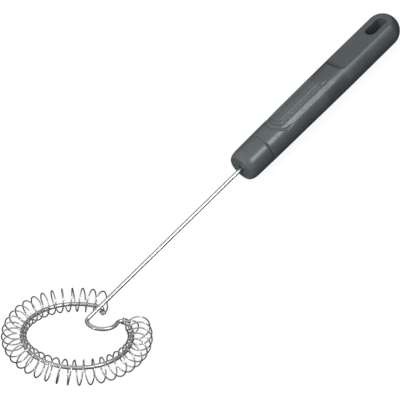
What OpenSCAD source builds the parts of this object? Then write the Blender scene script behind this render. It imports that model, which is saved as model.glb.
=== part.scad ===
// Hand milk frother: a coil of thin wire wound round a ring of thicker wire,
// whose long shaft runs up into a plastic handle. It lies on a table, resting on
// two turns of the coil beside the gap in the ring and on the handle's round end.
// Lengths are in millimetres. +Z is up, +X runs towards the handle.

/* [Head ring] */

// Radius of the ring, to the middle of its wire
ring_radius = 26.5; // [22:0.5:32]

// Diameter of the wire that makes the ring and the shaft
frame_wire = 2.0; // [1.6:0.1:2.4]

// Ring angle where the wire leaves the ring for the crank
crank_angle = 29.2; // [27:0.2:31]

// Ring angle where the free end bends down
stub_angle = 72; // [70:0.5:74]

// Bend radius of the free end
stub_bend = 1.9; // [1.7:0.1:2.1]

// How far the free end reaches below the ring
stub_drop = 3.9; // [3.7:0.1:4.5]

/* [Coil] */

// Diameter of the coil wire
coil_wire = 0.7; // [0.5:0.05:0.9]

// Outside diameter of the coil
coil_outer = 12.2; // [10:0.1:14]

// Play between the coil's turns and the ring's wire, on the ring's inner side
coil_slack = 0.61; // [0.3:0.01:1]

// Turns that a full circle would hold
turns_per_circle = 40; // [30:1:46]

// Pitch of the tight turns that anchor the coil at the crank
tight_pitch = 1.2; // [1.1:0.05:1.3]

/* [Crank and shaft] */

// Radius of the first bend, which turns the wire in from the ring
hump_radius = 2.65; // [2.4:0.05:3]

// Radius of the second bend, which crosses under the shaft
hook_radius = 7.67; // [7:0.05:8.4]

// Direction in which the two bends meet, about the first bend's centre
hump_end_angle = 167.9; // [160:0.5:176]

// Direction in which the second bend ends, about its own centre
hook_end_angle = 200; // [195:0.5:206]

// Radius of the bend from the hook up into the shaft
foot_bend = 2.6; // [2.2:0.1:3.2]

// Length of the bare shaft, from the foot to the handle's face
shaft_length = 113.8; // [90:0.2:140]

// Angle between the shaft and the ring's plane
shaft_rise = 26.7; // [25:0.1:29]

// Plan direction of the shaft over the ring
shaft_plan = 45.3; // [43:0.1:47]

/* [Handle] */

// Length of the handle
handle_length = 124.5; // [103:0.5:150]

// Diameter of the handle at its thick end
handle_diameter = 19.0; // [17:0.1:22]

// Diameter of the handle behind the rounded front
front_diameter = 17.4; // [15.5:0.1:19]

// Diameter of the flat front face
face_diameter = 14.7; // [12:0.1:15.2]

// Length of the rounded front
front_round = 5.2; // [3:0.1:7]

// Length of the front ferrule, face to seam
ferrule_length = 16.1; // [12:0.1:22]

// Depth of the fine groove at the seam
seam_depth = 0.3; // [0.1:0.05:0.5]

// Distance of the thumb flat from the handle's axis
flat_height = 7.05; // [6.6:0.05:7.5]

// Length of the thumb flat, from the handle's round end
flat_length = 45.1; // [36:0.1:52]

// Length of the curved ramp down to the flat
cove_length = 5.2; // [4:0.1:7]

/* [Hang slot] */

// Length of the slot, end to end
slot_length = 13.5; // [11:0.1:15]

// Width of the slot
slot_width = 6.3; // [5:0.1:7]

// Distance of the slot's centre from the handle's round end
slot_inset = 13.4; // [12:0.1:15]

// Radius of the slot's corners at the end nearer the tip
slot_corner = 2.1; // [1.2:0.1:2.4]

// Chamfer round the slot's rim on the flat
slot_chamfer = 0.6; // [0.2:0.05:0.9]

/* [Joints between the pieces] */

// Diameter of the ferrule's spigot
spigot_diameter = 12; // [9:0.1:14.4]

// Length of the spigot inside the handle body
spigot_length = 8; // [6:0.1:12]

// Clearance of the spigot in its socket, on the radius
spigot_clearance = 0.05; // [0.02:0.01:0.15]

// Length of the wire held in the handle body, past the spigot
wire_anchor = 14; // [8:0.5:24]

// Clearance of the wire in its bore, on the radius
wire_clearance = 0.03; // [0.02:0.01:0.08]

// Diameter of the ferrule's open mouth round the wire
mouth_diameter = 3.4; // [3:0.1:5]

// Depth of that mouth
mouth_depth = 3; // [1.5:0.1:6]

/* [Hidden] */

// Segments per turn and sides of the coil wire.
turn_steps = 16;
wire_sides = 6;

ferrule_color = [0.37, 0.39, 0.40];
handle_color = [0.34, 0.37, 0.38];
frame_color = [0.80, 0.80, 0.82];
coil_color = [0.86, 0.86, 0.88];

frame_r = frame_wire / 2;
coil_r = coil_outer / 2 - coil_wire / 2;
// How far the coil's centre line lies outside the ring's.
coil_ride = coil_outer / 2 - coil_wire - frame_r - coil_slack;
// The tight turns and the eye just touch the frame wire.
touch_r = frame_r + coil_wire / 2 + 0.03;

// ---- vectors ----

function unit(v) = v / norm(v);

function polar(r, a) = [r * cos(a), r * sin(a), 0];

function matrix(x, y, z, p) = [
    [x[0], y[0], z[0], p[0]],
    [x[1], y[1], z[1], p[1]],
    [x[2], y[2], z[2], p[2]],
    [0, 0, 0, 1]
];

function smooth(t) = t <= 0 ? 0 : t >= 1 ? 1 : t * t * (3 - 2 * t);

// ---- frame wire, in the ring's own plane: centre at the origin, z = 0 ----

hump_centre = polar(ring_radius - hump_radius, crank_angle);
hook_centre = hump_centre + polar(hump_radius + hook_radius, hump_end_angle);
foot_start = hook_centre + polar(hook_radius, hook_end_angle);
foot_in = [sin(hook_end_angle), -cos(hook_end_angle), 0];

shaft_dir = [
    cos(shaft_rise) * cos(shaft_plan),
    cos(shaft_rise) * sin(shaft_plan),
    sin(shaft_rise)
];
foot_turn = acos(foot_in * shaft_dir);
foot_side = unit(shaft_dir - (shaft_dir * foot_in) * foot_in);
foot_centre = foot_start + foot_bend * foot_side;
foot_tangent = foot_bend * tan(foot_turn / 2);
// Corner where the line of the hook's end meets the line of the shaft.
foot = foot_start + foot_tangent * foot_in;

stub_start = polar(ring_radius, stub_angle);
stub_out = [sin(stub_angle), -cos(stub_angle), 0];
stub_axis = stub_start + stub_bend * stub_out;

anchor_end = ferrule_length + spigot_length + wire_anchor;

// ---- coil centre line ----

coil_from = stub_angle + 0.3;
coil_to = crank_angle + 353.4;
turn_angle = 360 / turns_per_circle;
big_turns = (coil_to - coil_from) / turn_angle;
blend_turns = 0.9;
tight_turns = 3.5;
tight_angle = tight_pitch / ring_radius * 180 / PI;
blend_angle = (turn_angle + tight_angle) / 2 * blend_turns;

function coil_angle(m) =
    m <= big_turns ? coil_from + turn_angle * m :
    m <= big_turns + blend_turns ? coil_to + blend_angle * (m - big_turns) / blend_turns :
    coil_to + blend_angle + tight_angle * (m - big_turns - blend_turns);

// The wire that the coil follows: the ring, then the first bend of the crank.
function core_dir(a) =
    a <= crank_angle + 360 ? a
    : crank_angle + (a - crank_angle - 360) * ring_radius / hump_radius;

function core_point(a) =
    a <= crank_angle + 360 ? polar(ring_radius, a)
    : hump_centre + polar(hump_radius, core_dir(a));

function coil_point(m) =
    let (
        a = coil_angle(m),
        b = 1 - smooth((m - big_turns) / blend_turns),
        r = touch_r + (coil_r - touch_r) * b,
        e = polar(1, core_dir(a))
    )
    core_point(a) + e * (coil_ride * b + r * cos(360 * m)) + [0, 0, r * sin(360 * m)];

// The other end drops from the first turn and closes round the bent stub.
eye_turns = 1.25;
eye_pitch = coil_wire * 1.1;
eye_top = -stub_bend - 0.35;
eye_from = stub_angle - 4 - 90;

function eye_point(t) =
    stub_axis + polar(touch_r, eye_from - 360 * t) + [0, 0, eye_top - eye_pitch * t];

eye_lead = coil_point(0);
eye_mouth = eye_point(0);
lead_reach = coil_r * 0.8;
eye_in = polar(1, eye_from - 90);

function bezier(p, q, r, s, t) =
    p * pow(1 - t, 3) + 3 * q * t * pow(1 - t, 2) + 3 * r * t * t * (1 - t) + s * t * t * t;

eye_steps = 15;
lead_steps = 9;
tight_steps = 14;
big_count = ceil((big_turns + blend_turns) * turn_steps);
tight_count = ceil(tight_turns * tight_steps);

coil_line = concat(
    [for (i = [eye_steps : -1 : 1]) eye_point(eye_turns * i / eye_steps)],
    [for (i = [0 : lead_steps - 1])
        bezier(eye_mouth, eye_mouth - eye_in * lead_reach,
            eye_lead - [0, 0, lead_reach], eye_lead, i / lead_steps)],
    [for (i = [0 : big_count]) coil_point((big_turns + blend_turns) * i / big_count)],
    [for (i = [1 : tight_count])
        coil_point(big_turns + blend_turns + tight_turns * i / tight_count)]
);
coil_last = len(coil_line) - 1;

// ---- how it lies on the table ----

dome_r = handle_diameter / 2;
dome_at = foot + shaft_dir * (shaft_length + handle_length - dome_r);

side_count = 6 * turn_steps;
near_side = [for (i = [0 : side_count]) coil_line[i]];
far_side = [for (i = [coil_last - side_count : coil_last]) coil_line[i]];

function lowest(pts, n) =
    let (h = [for (p = pts) p * n], k = min(h))
    [for (i = [0 : len(pts) - 1]) if (h[i] == k) pts[i]][0];

function table_up(n, left) =
    left == 0 ? n :
    let (
        a = lowest(near_side, n) - n * coil_wire / 2,
        b = lowest(far_side, n) - n * coil_wire / 2,
        c = dome_at - n * dome_r,
        up = unit(cross(b - a, c - a))
    )
    table_up(up[2] < 0 ? -up : up, left - 1);

up = table_up(unit([-0.32, -0.34, 0.88]), 12);
tilt = acos(up[2]);
fall = atan2(-up[1], -up[0]);

function turned(p, a) = [p[0] * cos(a) - p[1] * sin(a), p[0] * sin(a) + p[1] * cos(a), p[2]];
function pitched(p, a) = [p[0] * cos(a) + p[2] * sin(a), p[1], p[2] * cos(a) - p[0] * sin(a)];

laid_shaft = pitched(turned(shaft_dir, -fall), tilt);
spin = -atan2(laid_shaft[1], laid_shaft[0]);

function laid(p) = turned(pitched(turned(p, -fall), tilt), spin);

laid_coil = [for (p = coil_line) laid(p)];
laid_dome = laid(dome_at);
box_x0 = min([for (p = laid_coil) p[0]]) - coil_wire / 2;
box_x1 = laid_dome[0] + dome_r;
box_y0 = min([for (p = laid_coil) p[1]]) - coil_wire / 2;
box_y1 = max([for (p = laid_coil) p[1]]) + coil_wire / 2;
box_z0 = laid_dome[2] - dome_r;
place = [-(box_x0 + box_x1) / 2, -(box_y0 + box_y1) / 2, -box_z0];

// Puts a piece that is drawn in the ring's plane down on the table.
module on_table() {
    translate(place)
    rotate([0, 0, spin])
    rotate([0, tilt, 0])
    rotate([0, 0, -fall])
    children();
}

// Puts a piece that is drawn along +X, flat side up, in the handle's place.
module on_shaft() {
    on_table()
    translate(foot)
    rotate([0, -shaft_rise, shaft_plan])
    translate([shaft_length, 0, 0])
    children();
}

// Turns a profile of [radius, length] pairs round the X axis.
module turned_x() {
    rotate([0, 90, 0])
    rotate_extrude($fn = 96)
    children();
}

// ---- frame wire ----

// The bends and straights meet inside small round knuckles, a hair fatter than
// the wire, so that the whole wire is one solid.
knuckle_r = frame_r + 0.02;
short = 0.08;

module wire_arc(radius, from, angle, cut_from = 1, cut_to = 1) {
    trim = short / radius * 180 / PI;
    rotate([0, 0, from + trim * cut_from])
    rotate_extrude(angle = angle - trim * (cut_from + cut_to), $fn = radius > 10 ? 96 : 48)
    translate([radius, 0])
    circle(d = frame_wire, $fn = 24);
}

module knuckle(p, along) {
    translate(p)
    rotate([0, acos(along[2]), atan2(along[1], along[0])])
    sphere(r = knuckle_r, $fn = 24);
}

module whisk_frame() {
    color(frame_color)
    on_table()
    union() {
        // Ring, from the free end round to the crank.
        wire_arc(ring_radius, stub_angle, 360 + crank_angle - stub_angle);
        knuckle(stub_start, stub_out);

        // Free end, bent down and cut square.
        multmatrix(matrix([0, 0, 1], stub_out, cross([0, 0, 1], stub_out),
            stub_start - [0, 0, stub_bend]))
        wire_arc(stub_bend, 0, 90);
        translate(stub_axis - [0, 0, stub_bend]) {
            sphere(r = knuckle_r, $fn = 24);
            translate([0, 0, stub_bend - stub_drop])
            cylinder(d = frame_wire, h = stub_drop - stub_bend - short, $fn = 24);
        }

        // Crank: in from the ring, then round under the shaft.
        knuckle(polar(ring_radius, crank_angle), polar(1, crank_angle + 90));
        translate(hump_centre)
        wire_arc(hump_radius, crank_angle, hump_end_angle - crank_angle);
        knuckle(hump_centre + polar(hump_radius, hump_end_angle), polar(1, hump_end_angle + 90));
        translate(hook_centre)
        wire_arc(hook_radius, hook_end_angle, hump_end_angle + 180 - hook_end_angle);
        knuckle(foot_start, foot_in);

        // Foot, up into the shaft.
        multmatrix(matrix(-foot_side, foot_in, cross(-foot_side, foot_in), foot_centre))
        wire_arc(foot_bend, 0, foot_turn);

        // Shaft, with the length that is held in the handle. Its knuckle stands
        // on the same axis.
        translate(foot)
        rotate([0, 90 - shaft_rise, shaft_plan])
        translate([0, 0, foot_tangent]) {
            sphere(r = knuckle_r, $fn = 24);
            translate([0, 0, short])
            cylinder(d = frame_wire, h = shaft_length + anchor_end - foot_tangent - short,
                $fn = 24);
        }
    }
}

// ---- coil ----

coil_tangent = [for (i = [0 : coil_last])
    unit(coil_line[min(i + 1, coil_last)] - coil_line[max(i - 1, 0)])];

function across(v, t) = unit(v - (v * t) * t);

// A side direction carried along the wire without twisting.
coil_side = [
    for (i = 0, s = across([0, 0, 1], coil_tangent[0]);
        i <= coil_last;
        i = i + 1, s = i <= coil_last ? across(s, coil_tangent[i]) : s)
    s
];

coil_points = [
    for (i = [0 : coil_last])
    let (s = coil_side[i], w = cross(coil_tangent[i], s))
    for (k = [0 : wire_sides - 1])
    coil_line[i] + coil_wire / 2 * (s * cos(360 * k / wire_sides) + w * sin(360 * k / wire_sides))
];

function corner(i, k) = i * wire_sides + k % wire_sides;

coil_faces = concat(
    [for (k = [1 : wire_sides - 2]) [0, k, k + 1]],
    [for (i = [0 : coil_last - 1]) for (k = [0 : wire_sides - 1])
        [corner(i, k), corner(i + 1, k), corner(i + 1, k + 1)]],
    [for (i = [0 : coil_last - 1]) for (k = [0 : wire_sides - 1])
        [corner(i, k), corner(i + 1, k + 1), corner(i, k + 1)]],
    [for (k = [1 : wire_sides - 2])
        [corner(coil_last, 0), corner(coil_last, k + 1), corner(coil_last, k)]]
);

module beater_coil() {
    color(coil_color)
    on_table()
    polyhedron(points = coil_points, faces = coil_faces, convexity = 10);
}

// ---- handle ----

face_r = face_diameter / 2;
front_r = front_diameter / 2;
round_steps = 7;

// Swell of the handle behind the rounded front: fractions of length and of growth.
swell = [[0.0, 0.0], [0.14, 0.33], [0.33, 0.58], [0.5, 0.81], [0.68, 1]];
swell_length = handle_length - dome_r - front_round;

function swell_point(k) = [
    front_r + (dome_r - front_r) * swell[k][1],
    front_round + swell_length * swell[k][0]
];

seam_r = front_r + (dome_r - front_r) * 0.33
    * (ferrule_length - front_round) / (0.14 * swell_length);

module front_ferrule() {
    color(ferrule_color)
    on_shaft()
    difference() {
        union() {
            turned_x()
            polygon(concat(
                [[0, 0]],
                [for (i = [0 : round_steps])
                    [face_r + (front_r - face_r) * sin(90 * i / round_steps),
                    front_round * (1 - cos(90 * i / round_steps))]],
                [[seam_r - 0.02, ferrule_length - seam_depth],
                [seam_r - seam_depth, ferrule_length],
                [0, ferrule_length]]
            ));
            rotate([0, 90, 0])
            cylinder(d = spigot_diameter, h = ferrule_length + spigot_length, $fn = 64);
        }
        translate([-1, 0, 0])
        rotate([0, 90, 0])
        cylinder(r = frame_r + wire_clearance, h = ferrule_length + spigot_length + 2, $fn = 48);
        translate([-1, 0, 0])
        rotate([0, 90, 0])
        cylinder(d = mouth_diameter, h = mouth_depth + 1, $fn = 48);
    }
}

module handle_profile() {
    intersection() {
        union() {
            polygon(concat(
                [[0, ferrule_length],
                [seam_r - seam_depth, ferrule_length],
                [seam_r + 0.02, ferrule_length + seam_depth]],
                [for (k = [1 : 4]) swell_point(k)],
                [[dome_r, handle_length - dome_r], [0, handle_length - dome_r]]
            ));
            translate([0, handle_length - dome_r])
            circle(r = dome_r, $fn = 96);
        }
        translate([0, ferrule_length])
        square([dome_r * 2, handle_length]);
    }
}

flat_start = handle_length - flat_length;
cove_drop = dome_r - flat_height;
cove_r = (cove_length * cove_length + cove_drop * cove_drop) / (2 * cove_drop);
slot_x = handle_length - slot_inset;
slot_near = slot_x - slot_length / 2 + slot_width / 2;
slot_far = slot_x + slot_length / 2 - slot_corner;
slot_side = slot_width / 2 - slot_corner;

// One upright round corner of the slot, with its chamfer at the flat.
module slot_round(x, y, r) {
    translate([x, y, -2 * dome_r])
    cylinder(r = r, h = 4 * dome_r, $fn = 48);
    translate([x, y, flat_height - slot_chamfer])
    cylinder(r1 = r, r2 = r + 2 * slot_chamfer, h = 2 * slot_chamfer, $fn = 48);
}

// A straight stretch of the slot along X, chamfered along both sides.
module slot_run(length, width) {
    translate([0, -width / 2, -2 * dome_r])
    cube([length, width, 4 * dome_r]);
    translate([0, 0, flat_height])
    rotate([90, 0, 90])
    linear_extrude(length)
    polygon([
        [-width / 2, -slot_chamfer],
        [width / 2, -slot_chamfer],
        [width / 2 + 2 * slot_chamfer, slot_chamfer],
        [-width / 2 - 2 * slot_chamfer, slot_chamfer]
    ]);
}

module hang_slot() {
    slot_round(slot_near, 0, slot_width / 2);
    for (y = [-slot_side, slot_side])
        slot_round(slot_far, y, slot_corner);
    translate([slot_near, 0, 0])
    slot_run(slot_far - slot_near, slot_width);
    translate([slot_far, slot_side, 0])
    rotate([0, 0, -90])
    slot_run(2 * slot_side, 2 * slot_corner);
}

module handle_body() {
    color(handle_color)
    on_shaft()
    difference() {
        turned_x()
        handle_profile();

        // Socket for the spigot, and the bore that holds the wire.
        translate([ferrule_length - 1, 0, 0])
        rotate([0, 90, 0])
        cylinder(d = spigot_diameter + 2 * spigot_clearance, h = spigot_length + 1.2, $fn = 64);
        translate([ferrule_length, 0, 0])
        rotate([0, 90, 0])
        cylinder(r = frame_r + wire_clearance, h = spigot_length + wire_anchor + 0.5, $fn = 48);

        // Thumb flat and the cove that leads down to it.
        translate([flat_start, -2 * dome_r, flat_height])
        cube([handle_length, 4 * dome_r, dome_r]);
        translate([flat_start, 2 * dome_r, flat_height + cove_r])
        rotate([90, 0, 0])
        cylinder(r = cove_r, h = 4 * dome_r, $fn = 96);

        hang_slot();
    }
}

handle_body();
front_ferrule();
whisk_frame();
beater_coil();
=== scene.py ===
import math

import bpy
from mathutils import Matrix, Vector


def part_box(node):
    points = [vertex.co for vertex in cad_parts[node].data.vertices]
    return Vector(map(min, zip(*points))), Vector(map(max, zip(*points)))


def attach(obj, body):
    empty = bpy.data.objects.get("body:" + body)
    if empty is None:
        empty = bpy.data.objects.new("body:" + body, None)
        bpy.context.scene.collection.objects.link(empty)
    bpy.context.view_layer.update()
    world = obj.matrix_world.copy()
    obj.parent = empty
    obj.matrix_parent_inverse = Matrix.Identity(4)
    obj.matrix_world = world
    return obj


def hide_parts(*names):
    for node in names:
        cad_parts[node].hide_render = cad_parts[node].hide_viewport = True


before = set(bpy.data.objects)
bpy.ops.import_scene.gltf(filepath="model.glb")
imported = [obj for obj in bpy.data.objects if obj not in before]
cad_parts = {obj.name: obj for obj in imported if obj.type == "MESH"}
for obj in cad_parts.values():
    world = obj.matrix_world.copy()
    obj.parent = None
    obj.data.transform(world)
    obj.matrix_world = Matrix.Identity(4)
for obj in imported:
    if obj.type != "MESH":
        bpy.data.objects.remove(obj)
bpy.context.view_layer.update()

# Lengths below are in millimetres and angles in degrees, as a maker's drawing
# gives them. MM turns them into the metres that every finished mesh is in.
MM = 0.001

# ---- sizes of the whisk ----

RING_RADIUS = 26.5
FRAME_WIRE = 2.0
CRANK_ANGLE = 29.2
STUB_ANGLE = 72.0
STUB_BEND = 1.9
STUB_DROP = 3.9

COIL_WIRE = 0.7
COIL_OUTER = 12.2
COIL_RIDE = 3.79
TURNS_PER_CIRCLE = 40
TIGHT_PITCH = 1.2
TIGHT_TURNS = 3.5
BLEND_TURNS = 0.9
EYE_TURNS = 1.25

HUMP_RADIUS = 2.65
HOOK_RADIUS = 7.67
HUMP_END_ANGLE = 167.9
HOOK_END_ANGLE = 200.0
FOOT_BEND = 2.6
SHAFT_LENGTH = 113.8
SHAFT_RISE = 26.7
SHAFT_PLAN = 45.3

HANDLE_LENGTH = 124.5
HANDLE_RADIUS = 9.5
FRONT_RADIUS = 8.7
FACE_RADIUS = 7.35
FRONT_ROUND = 5.2
FERRULE_LENGTH = 16.1
SEAM_DEPTH = 0.3
FLAT_HEIGHT = 7.05
FLAT_START = 79.4
COVE_LENGTH = 5.2
SLOT_LENGTH = 13.5
SLOT_WIDTH = 6.3
SLOT_INSET = 13.4
SLOT_CORNER = 2.1

SPIGOT_RADIUS = 6.0
SPIGOT_LENGTH = 8.0
SOCKET_RADIUS = 6.05
WIRE_ANCHOR = 14.0
BORE_RADIUS = 1.03
MOUTH_RADIUS = 1.7
MOUTH_DEPTH = 3.0

# Lines of the grip, each a U whose closed end points to the ferrule. Half its width
# in degrees round the handle, where the U starts, the length of its rounded end, and
# how square that end is.
GRIP_EDGE = (52.0, 24.7, 5.8, 1.45)
GRIP_GROOVE = (29.5, 27.6, 4.0, 2.0)
GRIP_RIDGE = (23.5, 28.4, 3.0, 2.0)
GRIP_PAD = (18.5, 29.5, 3.2, 2.0)
FACET_ANGLE = 43.75
FACET_HALF_WIDTH = 7.75

SLOT_RIM = 0.7
FLAT_EDGE_ROUND = 0.22
SEAM_HALF_WIDTH = 0.12
FACE_GROOVE_RADIUS = 5.7
FACE_GROOVE_WIDTH = 0.9
FACE_GROOVE_DEPTH = 0.16
FACE_LIP = 0.45

HANDLE_COLUMNS = 256
FERRULE_COLUMNS = 160

frame_radius = FRAME_WIRE / 2
coil_radius = (COIL_OUTER - COIL_WIRE) / 2
touch_radius = frame_radius + COIL_WIRE / 2 + 0.03
UP = Vector((0, 0, 1))


# ---- small geometry helpers ----

def sin(angle):
    return math.sin(math.radians(angle))


def cos(angle):
    return math.cos(math.radians(angle))


def polar(radius, angle):
    return Vector((radius * cos(angle), radius * sin(angle), 0))


def smooth(t):
    t = min(max(t, 0.0), 1.0)
    return t * t * (3 - 2 * t)


def steps(first, last, count):
    return [first + (last - first) * i / count for i in range(count + 1)]


# ---- path of the frame wire, in the ring's plane ----

hump_centre = polar(RING_RADIUS - HUMP_RADIUS, CRANK_ANGLE)
hook_centre = hump_centre + polar(HUMP_RADIUS + HOOK_RADIUS, HUMP_END_ANGLE)
foot_start = hook_centre + polar(HOOK_RADIUS, HOOK_END_ANGLE)
foot_in = Vector((sin(HOOK_END_ANGLE), -cos(HOOK_END_ANGLE), 0))
shaft_dir = Vector((cos(SHAFT_RISE) * cos(SHAFT_PLAN), cos(SHAFT_RISE) * sin(SHAFT_PLAN),
                    sin(SHAFT_RISE)))
foot_turn = math.degrees(foot_in.angle(shaft_dir))
foot_side = (shaft_dir - shaft_dir.dot(foot_in) * foot_in).normalized()
foot_tangent = FOOT_BEND * math.tan(math.radians(foot_turn / 2))
foot = foot_start + foot_tangent * foot_in
stub_start = polar(RING_RADIUS, STUB_ANGLE)
stub_out = Vector((sin(STUB_ANGLE), -cos(STUB_ANGLE), 0))
stub_axis = stub_start + STUB_BEND * stub_out


def frame_path():
    """The frame wire from its cut end, round the ring and up into the handle."""
    path = [stub_axis - Vector((0, 0, STUB_DROP)), stub_axis - Vector((0, 0, STUB_BEND + 0.8))]
    centre = stub_start - Vector((0, 0, STUB_BEND))
    for a in steps(90, 0, 12):
        path.append(centre + STUB_BEND * (cos(a) * UP + sin(a) * stub_out))
    for a in steps(STUB_ANGLE, 360 + CRANK_ANGLE, 260)[1:]:
        path.append(polar(RING_RADIUS, a))
    for a in steps(CRANK_ANGLE, HUMP_END_ANGLE, 24)[1:]:
        path.append(hump_centre + polar(HUMP_RADIUS, a))
    for a in steps(HUMP_END_ANGLE + 180, HOOK_END_ANGLE, 40)[1:]:
        path.append(hook_centre + polar(HOOK_RADIUS, a))
    centre = foot_start + FOOT_BEND * foot_side
    for a in steps(0, foot_turn, 14)[1:]:
        path.append(centre + FOOT_BEND * (sin(a) * foot_in - cos(a) * foot_side))
    held = FERRULE_LENGTH + SPIGOT_LENGTH + WIRE_ANCHOR
    for t in steps(foot_tangent, SHAFT_LENGTH + held, 60)[1:]:
        path.append(foot + shaft_dir * t)
    return path


# ---- path of the coil wire ----

coil_from = STUB_ANGLE + 0.3
coil_to = CRANK_ANGLE + 353.4
turn_angle = 360 / TURNS_PER_CIRCLE
big_turns = (coil_to - coil_from) / turn_angle
tight_angle = math.degrees(TIGHT_PITCH / RING_RADIUS)
blend_angle = (turn_angle + tight_angle) / 2 * BLEND_TURNS


def coil_angle(turn):
    """How far round the ring the coil has come after so many turns."""
    past = turn - big_turns
    if past <= 0:
        return coil_from + turn_angle * turn
    if past <= BLEND_TURNS:
        return coil_to + blend_angle * past / BLEND_TURNS
    return coil_to + blend_angle + tight_angle * (past - BLEND_TURNS)


def coil_point(turn):
    """A point of the coil: large turns round the ring, then small ones on the crank."""
    angle = coil_angle(turn)
    past = angle - CRANK_ANGLE - 360
    spread = 1 - smooth((turn - big_turns) / BLEND_TURNS)
    radius = touch_radius + (coil_radius - touch_radius) * spread
    if past <= 0:
        core, outward = polar(RING_RADIUS, angle), polar(1, angle)
    else:
        bend = CRANK_ANGLE + past * RING_RADIUS / HUMP_RADIUS
        core, outward = hump_centre + polar(HUMP_RADIUS, bend), polar(1, bend)
    return (core + outward * (COIL_RIDE * spread + radius * cos(360 * turn))
            + UP * radius * sin(360 * turn))


def eye_point(turn):
    """A point of the small eye that closes round the bent end of the frame wire."""
    start = STUB_ANGLE - 94
    height = -STUB_BEND - 0.35 - 1.1 * COIL_WIRE * turn
    return stub_axis + polar(touch_radius, start - 360 * turn) + UP * height


def coil_path(per_turn):
    path = [eye_point(t) for t in steps(EYE_TURNS, 0, round(EYE_TURNS * per_turn))[:-1]]
    mouth, lead = eye_point(0), coil_point(0)
    reach = coil_radius * 0.8
    pulls = (mouth, mouth - polar(reach, STUB_ANGLE - 184), lead - reach * UP, lead)
    for t in steps(0, 1, per_turn // 2)[:-1]:
        weights = ((1 - t) ** 3, 3 * t * (1 - t) ** 2, 3 * t * t * (1 - t), t ** 3)
        path.append(sum((w * p for w, p in zip(weights, pulls)), Vector()))
    turns = big_turns + BLEND_TURNS + TIGHT_TURNS
    path += [coil_point(t) for t in steps(0, turns, round(turns * per_turn))]
    return path


# ---- how the whisk lies on the table ----

def lowest(path, normal):
    """The point of a path that lies furthest down against a normal."""
    return min(path, key=lambda p: p.dot(normal))


def table_placement():
    """The matrix from the ring's plane to the table: head and handle both touch it."""
    path = coil_path(16)
    near, far = path[:97], path[-97:]
    dome = foot + shaft_dir * (SHAFT_LENGTH + HANDLE_LENGTH - HANDLE_RADIUS)
    normal = Vector((-0.32, -0.34, 0.88)).normalized()
    for _ in range(12):
        a = lowest(near, normal) - normal * COIL_WIRE / 2
        b = lowest(far, normal) - normal * COIL_WIRE / 2
        c = dome - normal * HANDLE_RADIUS
        normal = (b - a).cross(c - a).normalized()
        if normal.z < 0:
            normal = -normal
    along = (shaft_dir - shaft_dir.dot(normal) * normal).normalized()
    turn = Matrix((along, normal.cross(along), normal)).to_4x4()
    floor = (turn @ dome).z - HANDLE_RADIUS
    handle_low, handle_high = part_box("handle_body")
    sideways = (handle_low.y + handle_high.y) / 2 / MM - (turn @ dome).y
    forward = handle_high.x / MM - HANDLE_RADIUS - (turn @ dome).x
    return Matrix.Translation((forward, sideways, -floor)) @ turn


ring_place = table_placement()

# The handle is drawn along +X, with its flat side up.
handle_side = UP.cross(shaft_dir).normalized()
handle_axes = Matrix((shaft_dir, handle_side, shaft_dir.cross(handle_side))).transposed()
handle_place = (ring_place @ Matrix.Translation(foot + shaft_dir * SHAFT_LENGTH)
                @ handle_axes.to_4x4())


# ---- camera ----

CAMERA_DIP = 29.46
CAMERA_ROLL = -3.99
# Where the ring's centre stands before the camera: right, up, ahead, in ring radii.
RING_RIGHT, RING_UP, RING_AHEAD = -2.227, -2.446, 25.401


def camera_axes():
    """Right, up and ahead of the camera, in the ring's plane."""
    right = Vector((cos(CAMERA_ROLL), -sin(CAMERA_DIP) * sin(CAMERA_ROLL),
                    -cos(CAMERA_DIP) * sin(CAMERA_ROLL)))
    up = Vector((sin(CAMERA_ROLL), sin(CAMERA_DIP) * cos(CAMERA_ROLL),
                 cos(CAMERA_DIP) * cos(CAMERA_ROLL)))
    ahead = Vector((0, cos(CAMERA_DIP), -sin(CAMERA_DIP)))
    return right, up, ahead


def add_camera():
    right, up, ahead = camera_axes()
    at = -RING_RADIUS * (right * RING_RIGHT + up * RING_UP + ahead * RING_AHEAD)
    turn = ring_place.to_3x3()
    camera = bpy.data.objects.new("camera", bpy.data.cameras.new("camera"))
    camera.data.sensor_width = 36
    camera.data.lens = 126
    camera.data.clip_start = 0.01
    camera.data.clip_end = 20
    axes = Matrix((turn @ right, turn @ up, -(turn @ ahead))).transposed().to_4x4()
    camera.matrix_world = Matrix.Translation((ring_place @ at) * MM) @ axes
    bpy.context.collection.objects.link(camera)
    bpy.context.scene.camera = camera
    return camera


camera = add_camera()


# ---- materials ----

def new_material(name):
    material = bpy.data.materials.new(name)
    material.use_nodes = True
    tree = material.node_tree
    shader = tree.nodes["Principled BSDF"]
    return material, tree, shader


def add_noise(tree, scale, detail, roughness=0.55):
    where = tree.nodes.new("ShaderNodeTexCoord")
    noise = tree.nodes.new("ShaderNodeTexNoise")
    noise.inputs["Scale"].default_value = scale
    noise.inputs["Detail"].default_value = detail
    noise.inputs["Roughness"].default_value = roughness
    tree.links.new(where.outputs["Object"], noise.inputs["Vector"])
    return noise.outputs["Fac"]


def spread_over(tree, value, low, high):
    """Maps a noise value, which stays near the middle, to a range."""
    scale = tree.nodes.new("ShaderNodeMapRange")
    scale.inputs["From Min"].default_value = 0.3
    scale.inputs["From Max"].default_value = 0.7
    scale.inputs["To Min"].default_value = low
    scale.inputs["To Max"].default_value = high
    tree.links.new(value, scale.inputs["Value"])
    return scale.outputs["Result"]


def add_bump(tree, height, distance, strength=1.0, below=None):
    bump = tree.nodes.new("ShaderNodeBump")
    bump.inputs["Distance"].default_value = distance
    bump.inputs["Strength"].default_value = strength
    tree.links.new(height, bump.inputs["Height"])
    if below is not None:
        tree.links.new(below, bump.inputs["Normal"])
    return bump.outputs["Normal"]


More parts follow.
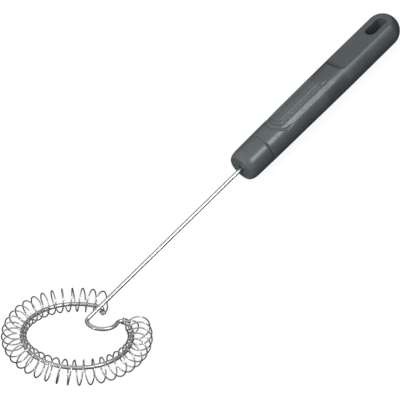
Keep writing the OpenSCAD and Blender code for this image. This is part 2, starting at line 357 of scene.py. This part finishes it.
def mix_colors(tree, factor, first, second):
    mix = tree.nodes.new("ShaderNodeMix")
    mix.data_type = "RGBA"
    tree.links.new(factor, mix.inputs["Factor"])
    mix.inputs["A"].default_value = (*first, 1)
    mix.inputs["B"].default_value = (*second, 1)
    return mix.outputs["Result"]


def multiply(tree, first, second):
    """The product of two values."""
    node = tree.nodes.new("ShaderNodeMath")
    node.operation = "MULTIPLY"
    tree.links.new(first, node.inputs[0])
    tree.links.new(second, node.inputs[1])
    return node.outputs["Value"]


def make_plastic(name, dark, light, rough_low, rough_high, grain_and_shade=False):
    """Satin moulded plastic: cloudy tone, uneven gloss and a fine stipple; optionally a coarser
    pad grain and painted shade on the flat.
    """
    material, tree, shader = new_material(name)
    cloud = spread_over(tree, add_noise(tree, 90, 4), 0, 1)
    tone = mix_colors(tree, cloud, dark, light)
    if grain_and_shade:
        # Painted shade: the colour of the recessed flat and its cove is darkened to 0.8 of the
        # round grip's.
        flat = tree.nodes.new("ShaderNodeAttribute")
        flat.attribute_name = "flat_shade"
        painted_shade = tree.nodes.new("ShaderNodeMix")
        painted_shade.data_type = "RGBA"
        painted_shade.blend_type = "MULTIPLY"
        tree.links.new(flat.outputs["Fac"], painted_shade.inputs["Factor"])
        tree.links.new(tone, painted_shade.inputs["A"])
        painted_shade.inputs["B"].default_value = (0.8, 0.8, 0.8, 1)
        tone = painted_shade.outputs["Result"]
    tree.links.new(tone, shader.inputs["Base Color"])
    gloss = spread_over(tree, add_noise(tree, 420, 3), rough_low, rough_high)
    tree.links.new(gloss, shader.inputs["Roughness"])
    surface = add_bump(tree, add_noise(tree, 1800, 2), 0.000008)
    if grain_and_shade:
        # The pad of the grip has a coarser grain than the rest.
        pad = tree.nodes.new("ShaderNodeAttribute")
        pad.attribute_name = "pad_grain"
        grain = spread_over(tree, add_noise(tree, 900, 2), 0, 1)
        surface = add_bump(tree, multiply(tree, grain, pad.outputs["Fac"]), 0.00016, 1.0, surface)
    tree.links.new(surface, shader.inputs["Normal"])
    shader.inputs["IOR"].default_value = 1.5
    return material


def make_steel(name, dark, light, rough_low, rough_high):
    """Drawn stainless wire: polished, with faint drag marks and cloudy patches."""
    material, tree, shader = new_material(name)
    shader.inputs["Metallic"].default_value = 1.0
    cloud = spread_over(tree, add_noise(tree, 240, 3), 0, 1)
    tree.links.new(mix_colors(tree, cloud, dark, light), shader.inputs["Base Color"])
    gloss = spread_over(tree, add_noise(tree, 700, 3), rough_low, rough_high)
    tree.links.new(gloss, shader.inputs["Roughness"])
    tree.links.new(add_bump(tree, add_noise(tree, 500, 2), 0.000006), shader.inputs["Normal"])
    return material


GREY = ((0.088, 0.104, 0.111), (0.106, 0.124, 0.132), 0.28, 0.36)
handle_plastic = make_plastic("handle_plastic", *GREY, grain_and_shade=True)
ferrule_plastic = make_plastic("ferrule_plastic", *GREY)
frame_steel = make_steel("frame_steel", (0.82, 0.82, 0.82), (0.90, 0.90, 0.90), 0.26, 0.34)
coil_steel = make_steel("coil_steel", (0.78, 0.78, 0.78), (0.86, 0.86, 0.86), 0.24, 0.32)


# ---- meshes ----

def add_object(name, points, faces, material, smooth_shading=True):
    mesh = bpy.data.meshes.new(name)
    mesh.from_pydata([p * MM for p in points], [], faces)
    mesh.validate()
    mesh.materials.append(material)
    if smooth_shading:
        mesh.shade_smooth()
    piece = bpy.data.objects.new(name, mesh)
    bpy.context.collection.objects.link(piece)
    return piece


def make_wire_tree():
    """A node tree that runs round wire along a line of points."""
    tree = bpy.data.node_groups.new("round_wire", "GeometryNodeTree")
    face = tree.interface
    face.new_socket("Geometry", in_out="INPUT", socket_type="NodeSocketGeometry")
    face.new_socket("Wire Radius", in_out="INPUT", socket_type="NodeSocketFloat")
    face.new_socket("Sides", in_out="INPUT", socket_type="NodeSocketInt")
    face.new_socket("Material", in_out="INPUT", socket_type="NodeSocketMaterial")
    face.new_socket("Geometry", in_out="OUTPUT", socket_type="NodeSocketGeometry")
    group_in = tree.nodes.new("NodeGroupInput")
    group_out = tree.nodes.new("NodeGroupOutput")
    line = tree.nodes.new("GeometryNodeMeshToCurve")
    section = tree.nodes.new("GeometryNodeCurvePrimitiveCircle")
    sweep = tree.nodes.new("GeometryNodeCurveToMesh")
    sweep.inputs["Fill Caps"].default_value = True
    real = tree.nodes.new("GeometryNodeRealizeInstances")
    paint = tree.nodes.new("GeometryNodeSetMaterial")
    link = tree.links.new
    link(group_in.outputs["Geometry"], line.inputs["Mesh"])
    link(group_in.outputs["Sides"], section.inputs["Resolution"])
    link(group_in.outputs["Wire Radius"], section.inputs["Radius"])
    link(line.outputs["Curve"], sweep.inputs["Curve"])
    link(section.outputs["Curve"], sweep.inputs["Profile Curve"])
    link(sweep.outputs["Mesh"], real.inputs["Geometry"])
    link(real.outputs["Geometry"], paint.inputs["Geometry"])
    link(group_in.outputs["Material"], paint.inputs["Material"])
    link(paint.outputs["Geometry"], group_out.inputs["Geometry"])
    return tree


wire_tree = make_wire_tree()


def add_wire(name, path, radius, sides, material):
    """Sweeps round wire along a path given in the ring's plane."""
    line = bpy.data.meshes.new(name + "_line")
    line.from_pydata([(ring_place @ p) * MM for p in path],
                     [(i, i + 1) for i in range(len(path) - 1)], [])
    carrier = bpy.data.objects.new(name + "_line", line)
    bpy.context.collection.objects.link(carrier)
    modifier = carrier.modifiers.new("wire", "NODES")
    modifier.node_group = wire_tree
    sockets = {s.name: s.identifier for s in wire_tree.interface.items_tree
               if s.in_out == "INPUT"}
    modifier[sockets["Wire Radius"]] = radius * MM
    modifier[sockets["Sides"]] = sides
    modifier[sockets["Material"]] = material
    bpy.context.view_layer.update()
    evaluated = carrier.evaluated_get(bpy.context.evaluated_depsgraph_get())
    mesh = bpy.data.meshes.new_from_object(evaluated)
    mesh.name = name
    carrier.modifiers.remove(modifier)
    bpy.data.objects.remove(carrier)
    for face in mesh.polygons:
        face.use_smooth = len(face.vertices) == 4
    piece = bpy.data.objects.new(name, mesh)
    bpy.context.collection.objects.link(piece)
    return piece


frame_piece = add_wire("frame_wire", frame_path(), frame_radius, 24, frame_steel)
coil_piece = add_wire("coil_wire", coil_path(40), COIL_WIRE / 2, 12, coil_steel)


# ---- handle ----

SWELL = ((0.0, 0.0), (0.14, 0.33), (0.33, 0.58), (0.5, 0.81), (0.68, 1.0), (1.0, 1.0))
dome_start = HANDLE_LENGTH - HANDLE_RADIUS
swell_length = dome_start - FRONT_ROUND
cove_drop = HANDLE_RADIUS - FLAT_HEIGHT
cove_radius = (COVE_LENGTH ** 2 + cove_drop ** 2) / (2 * cove_drop)
slot_centre = HANDLE_LENGTH - SLOT_INSET
slot_near = slot_centre - SLOT_LENGTH / 2 + SLOT_WIDTH / 2
slot_far = slot_centre + SLOT_LENGTH / 2 - SLOT_CORNER
slot_side = SLOT_WIDTH / 2 - SLOT_CORNER


def swell_radius(s):
    """Radius of the round handle behind its rounded front."""
    t = (s - FRONT_ROUND) / swell_length
    for (t0, g0), (t1, g1) in zip(SWELL, SWELL[1:]):
        if t <= t1:
            return FRONT_RADIUS + (HANDLE_RADIUS - FRONT_RADIUS) * (
                g0 + (g1 - g0) * (t - t0) / (t1 - t0))
    return HANDLE_RADIUS


def soft_min(a, b, width):
    """The smaller of two heights, with the edge between them rounded."""
    h = min(max(0.5 + 0.5 * (b - a) / width, 0.0), 1.0)
    return b * (1 - h) + a * h - width * h * (1 - h)


def flat_plane(s):
    """Height of the thumb flat over the axis, with the cove that leads down to it."""
    back = FLAT_START - s
    if back <= 0:
        return FLAT_HEIGHT
    if back >= cove_radius * 0.98:
        return 99.0
    return FLAT_HEIGHT + cove_radius - math.sqrt(cove_radius ** 2 - back ** 2)


def outline(s, g, half, start, corner, power):
    """Signed distance, roughly in millimetres, inside a U-shaped outline of the grip."""
    side = (half - abs(g)) * math.radians(1) * HANDLE_RADIUS
    if s >= start + corner:
        return side
    along = (start + corner - s) / corner
    reach = ((abs(g) / half) ** power + along ** power) ** (1 / power)
    return (1 - reach) * min(corner, half * math.radians(1) * HANDLE_RADIUS)


def line_cut(distance, width, depth):
    return depth * math.exp(-(distance / width) ** 2)


def grip_relief(s, g):
    """How far the grip's lines and facets lie below the round handle."""
    fade = 1 - smooth((s - 60) / 8)
    cut = 0.0
    outer = outline(s, g, *GRIP_EDGE)
    edge_fade = 1 - smooth((s - 62) / 9)
    low_fade = 1 - smooth((s - 31) / 5)
    cut += line_cut(outer + 0.15, 0.5, 0.42 * edge_fade * low_fade)
    cut += line_cut(outline(s, g, *GRIP_GROOVE), 0.45, 0.36 * fade)
    cut -= line_cut(outline(s, g, *GRIP_RIDGE), 0.36, 0.10 * fade)
    cut += line_cut(outline(s, g, *GRIP_PAD), 0.42, 0.28 * fade)
    # A narrow facet runs along each side of the grip.
    if outer > 0:
        off = abs(g) - FACET_ANGLE
        reach = cos(FACET_HALF_WIDTH)
        chord = HANDLE_RADIUS * (1 - reach / max(cos(off), reach))
        cut += chord * smooth(outer / 0.3) * (1 - smooth((s - 64) / 8))
    return cut


def pad_grain(point):
    """1 on the pad of the grip and 0 elsewhere, from a point in the handle's own axes."""
    if point.z <= 0 or point.x > 72:
        return 0.0
    turned = math.degrees(math.atan2(point.y, point.z))
    inside = smooth(outline(point.x, turned, *GRIP_PAD) - 0.3)
    return inside * (1 - smooth((point.x - 62) / 9))


def handle_radius(s, g):
    """Radius of the handle at a distance from its face and an angle from its flat side."""
    if s <= dome_start:
        round_radius = swell_radius(s)
    else:
        round_radius = math.sqrt(max(HANDLE_RADIUS ** 2 - (s - dome_start) ** 2, 0.0))
    round_radius -= grip_relief(s, g) if 22 < s < 74 and abs(g) < 60 else 0.0
    if abs(g) < 80:
        return soft_min(round_radius, flat_plane(s) / cos(g), FLAT_EDGE_ROUND)
    return round_radius


def flat_shade(point):
    """1 on the thumb flat and its cove and 0 elsewhere, in the handle's own axes: where painted
    shade darkens the plastic.
    """
    if point.z <= 0 or point.x < 60 or point.x > HANDLE_LENGTH:
        return 0.0
    if math.hypot(point.y, point.z) >= HANDLE_RADIUS - 0.03:
        return 0.0
    return smooth((flat_plane(point.x) + 0.25 - point.z) / 0.2 + 0.5)


def spin_rows(rows, columns):
    """Faces of a closed skin over rows of points; the first and last rows are poles."""
    points, faces = [], []
    for row in rows:
        points += row
    first = 1
    for j in range(columns):
        faces.append((0, first + (j + 1) % columns, first + j))
    for i in range(len(rows) - 3):
        a = 1 + i * columns
        b = a + columns
        for j in range(columns):
            k = (j + 1) % columns
            faces.append((a + j, a + k, b + k, b + j))
    a = 1 + (len(rows) - 3) * columns
    for j in range(columns):
        faces.append((len(points) - 1, a + j, a + (j + 1) % columns))
    return points, faces


def ring_row(s, radius, columns):
    return [Vector((s, radius * sin(g), radius * cos(g)))
            for g in (360 * j / columns - 180 for j in range(columns))]


def seam_row(s, seam, columns):
    """The edge of the seam, which opens wider on the flanks than under the flat side."""
    angles = [360 * j / columns - 180 for j in range(columns)]
    return [Vector((s, r * sin(g), r * cos(g)))
            for g, r in ((g, seam - 0.03 - 0.12 * smooth((abs(g) - 25) / 30)) for g in angles)]


def handle_rows(columns):
    """Rows of points from the blind end of the wire bore, out and over the handle."""
    bore_end = FERRULE_LENGTH + SPIGOT_LENGTH + WIRE_ANCHOR + 0.5
    socket_end = FERRULE_LENGTH + SPIGOT_LENGTH + 0.2
    seam = swell_radius(FERRULE_LENGTH)
    rows = [[Vector((bore_end, 0, 0))]]
    for s, r in ((bore_end, BORE_RADIUS), (socket_end, BORE_RADIUS),
                 (socket_end, SOCKET_RADIUS), (FERRULE_LENGTH, SOCKET_RADIUS),
                 (FERRULE_LENGTH, seam - SEAM_DEPTH)):
        rows.append(ring_row(s, r, columns))
    rows.append(seam_row(FERRULE_LENGTH + SEAM_HALF_WIDTH, seam, columns))
    stations = (steps(FERRULE_LENGTH + 0.2, 23, 8) + steps(23.4, 35, 46)
                + steps(35.8, 70, 44) + steps(70.5, 74, 8) + steps(74.2, 80.4, 31)
                + steps(81.2, dome_start, 60)
                + [dome_start + HANDLE_RADIUS * sin(a) for a in steps(2, 88.5, 44)])
    for s in stations:
        rows.append([Vector((s, r * sin(g), r * cos(g)))
                     for g, r in ((g, handle_radius(s, g))
                                  for g in (360 * j / columns - 180 for j in range(columns)))])
    rows.append([Vector((HANDLE_LENGTH, 0, 0))])
    return rows


def slot_distance(point):
    """Distance outside the slot's outline, seen from above."""
    if point.x < slot_far:
        return math.hypot(max(slot_near - point.x, 0.0), point.y) - SLOT_WIDTH / 2
    return math.hypot(point.x - slot_far, max(abs(point.y) - slot_side, 0.0)) - SLOT_CORNER


def soften_slot_rim(point, rim):
    """Lets the surface roll down into the slot on both sides."""
    gap = rim - max(slot_distance(point), 0.0)
    if gap <= 0 or abs(point.x - slot_centre) > SLOT_LENGTH:
        return point
    drop = rim - math.sqrt(max(rim ** 2 - gap ** 2, 0.0))
    return point - UP * math.copysign(min(drop, 0.9 * rim), point.z)


def slot_cutter():
    """A closed upright prism with the slot's outline, through the whole handle."""
    ring = [Vector((slot_near, 0, 0)) + polar(SLOT_WIDTH / 2, a) for a in steps(90, 270, 24)]
    for side, start in ((-slot_side, -90), (slot_side, 0)):
        corner = Vector((slot_far, side, 0))
        ring += [corner + polar(SLOT_CORNER, a) for a in steps(start, start + 90, 12)]
    points = [p + UP * h for h in (-20, 20) for p in ring]
    count = len(ring)
    faces = [tuple(reversed(range(count))), tuple(range(count, 2 * count))]
    for i in range(count):
        k = (i + 1) % count
        faces.append((i, k, count + k, count + i))
    return points, faces


def add_handle():
    points, faces = spin_rows(handle_rows(HANDLE_COLUMNS), HANDLE_COLUMNS)
    points = [handle_place @ soften_slot_rim(p, SLOT_RIM) for p in points]
    piece = add_object("handle_body", points, faces, handle_plastic)
    cut_points, cut_faces = slot_cutter()
    cutter = add_object("slot_cutter", [handle_place @ p for p in cut_points], cut_faces,
                        handle_plastic, False)
    cut = piece.modifiers.new("slot", "BOOLEAN")
    cut.operation = "DIFFERENCE"
    cut.solver = "EXACT"
    cut.object = cutter
    bpy.context.view_layer.update()
    evaluated = piece.evaluated_get(bpy.context.evaluated_depsgraph_get())
    mesh = bpy.data.meshes.new_from_object(evaluated)
    piece.modifiers.clear()
    piece.data = mesh
    bpy.data.objects.remove(cutter)
    to_handle = handle_place.inverted()
    grain = mesh.attributes.new("pad_grain", "FLOAT", "POINT")
    grain.data.foreach_set("value", [pad_grain(to_handle @ (v.co / MM)) for v in mesh.vertices])
    # Mask of the painted shade that darkens the colour of the flat and its cove.
    painted_shade = mesh.attributes.new("flat_shade", "FLOAT", "POINT")
    painted_shade.data.foreach_set("value", [flat_shade(to_handle @ (v.co / MM)) for v in mesh.vertices])
    return piece


handle_piece = add_handle()


def ferrule_rows(columns):
    """The front ferrule with its open mouth, wire bore and spigot, as closed rows."""
    end = FERRULE_LENGTH + SPIGOT_LENGTH
    seam = swell_radius(FERRULE_LENGTH)
    edge = 0.25
    profile = [(end, BORE_RADIUS), (MOUTH_DEPTH, BORE_RADIUS), (MOUTH_DEPTH, MOUTH_RADIUS),
               (edge, MOUTH_RADIUS)]
    profile += [(edge * (1 - sin(a)), MOUTH_RADIUS + edge * (1 - cos(a)))
                for a in (30, 60, 90)]
    profile += [(0.0, r) for r in (3.5, 5.2, FACE_GROOVE_RADIUS)]
    # A shallow turned groove inside the face's rim, and the rim's small round edge.
    profile += [(FACE_GROOVE_DEPTH * (1 - cos(a)) / 2,
                 FACE_GROOVE_RADIUS + FACE_GROOVE_WIDTH * a / 360)
                for a in steps(0, 360, 12)[1:]]
    profile += [(FACE_LIP * (1 - cos(a)), FACE_RADIUS - 0.25 + FACE_LIP * sin(a))
                for a in steps(0, 62, 7)]
    start_s, start_r = profile[-1]
    for a in steps(20, 90, 20)[1:]:
        t = (cos(20) - cos(a)) / cos(20)
        profile.append((start_s + (FRONT_ROUND - start_s) * t,
                        start_r + (FRONT_RADIUS - start_r) * (sin(a) - sin(20)) / (1 - sin(20))))
    profile += [(s, swell_radius(s)) for s in steps(6, FERRULE_LENGTH - 0.2, 8)]
    rows = [ring_row(s, r, columns) for s, r in profile]
    rows.append(seam_row(FERRULE_LENGTH - SEAM_HALF_WIDTH, seam, columns))
    return rows + [ring_row(s, r, columns)
                   for s, r in ((FERRULE_LENGTH, seam - SEAM_DEPTH),
                                (FERRULE_LENGTH, SPIGOT_RADIUS), (end, SPIGOT_RADIUS))]


def add_ferrule():
    columns = FERRULE_COLUMNS
    rows = ferrule_rows(columns)
    points = [handle_place @ p for row in rows for p in row]
    faces = []
    for i in range(len(rows)):
        a = i * columns
        b = (i + 1) % len(rows) * columns
        for j in range(columns):
            k = (j + 1) % columns
            faces.append((a + j, a + k, b + k, b + j))
    return add_object("front_ferrule", points, faces, ferrule_plastic)


ferrule_piece = add_ferrule()

for piece, node, slot in ((handle_piece, "handle_body", "handle_plastic"),
                          (ferrule_piece, "front_ferrule", "ferrule_plastic"),
                          (frame_piece, "whisk_frame", "frame_steel"),
                          (coil_piece, "beater_coil", "coil_steel")):
    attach(piece, "root")
    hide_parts(node)


# ---- floor and light ----

def add_floor():
    mesh = bpy.data.meshes.new("floor")
    size = 4
    mesh.from_pydata([(-size, -size, 0), (size, -size, 0), (size, size, 0), (-size, size, 0)],
                     [], [(0, 1, 2, 3)])
    material, tree, shader = new_material("floor_paint")
    shader.inputs["Base Color"].default_value = (0.1, 0.1, 0.1, 1)
    shader.inputs["Roughness"].default_value = 0.9
    shader.inputs["Specular IOR Level"].default_value = 0
    shader.inputs["Emission Color"].default_value = (1, 1, 1, 1)
    shader.inputs["Emission Strength"].default_value = 0.92
    mesh.materials.append(material)
    floor = bpy.data.objects.new("floor", mesh)
    bpy.context.collection.objects.link(floor)
    floor.visible_diffuse = False
    floor.visible_glossy = False
    return floor


add_floor()


def add_light(name, direction, distance, size, power):
    """A soft round lamp that shines on the whisk from a direction."""
    target = Vector((0.0, 0.0, 0.015))
    at = target + direction.normalized() * distance
    data = bpy.data.lights.new(name, "AREA")
    data.shape = "DISK"
    data.size = size
    data.energy = power
    lamp = bpy.data.objects.new(name, data)
    lamp.matrix_world = (Matrix.Translation(at)
                         @ (target - at).to_track_quat("-Z", "Y").to_matrix().to_4x4())
    bpy.context.collection.objects.link(lamp)
    return lamp


# The key lamp stands where a round bar along the shaft would mirror it to the camera.
shaft_line = (ring_place.to_3x3() @ shaft_dir).normalized()
to_camera = camera.matrix_world.to_3x3() @ Vector((0, 0, 1))
mirrored = to_camera - 2 * to_camera.dot(shaft_line) * shaft_line
lowered = Matrix.Rotation(math.radians(9), 3, shaft_line) @ mirrored
key = add_light("key", lowered, 1.3, 0.48, 6.2)
key.visible_diffuse = False

# A soft lamp low on the near side fills the handle's lower flank.
side = add_light("side", Vector((-0.3, -0.9, 0.3)), 1.2, 0.6, 2.2)
side.visible_glossy = False

# A wide lamp above the whisk head gives an even light with no glare of its own.
overhead = add_light("overhead", Vector((-0.75, -0.2, 0.85)), 1.2, 0.7, 11.5)
overhead.visible_glossy = False

# A small lamp in line with the shaft lights the handle's face.
add_light("face", -shaft_line + 0.25 * UP, 1.3, 0.3, 1.4)


def add_sky(overhead_strength, horizon_strength):
    """A pale sky, brightest overhead and dim from the horizon down."""
    world = bpy.data.worlds.new("studio")
    world.use_nodes = True
    tree = world.node_tree
    where = tree.nodes.new("ShaderNodeTexCoord")
    split = tree.nodes.new("ShaderNodeSeparateXYZ")
    ramp = tree.nodes.new("ShaderNodeMapRange")
    ramp.inputs["From Min"].default_value = 0.0
    ramp.inputs["From Max"].default_value = 0.9
    ramp.inputs["To Min"].default_value = horizon_strength
    ramp.inputs["To Max"].default_value = overhead_strength
    tree.links.new(where.outputs["Generated"], split.inputs["Vector"])
    tree.links.new(split.outputs["Z"], ramp.inputs["Value"])
    tree.links.new(ramp.outputs["Result"], tree.nodes["Background"].inputs["Strength"])
    tree.nodes["Background"].inputs["Color"].default_value = (1, 1, 1, 1)
    bpy.context.scene.world = world


add_sky(0.6, 0.07)
bpy.context.scene.view_settings.view_transform = "Standard"
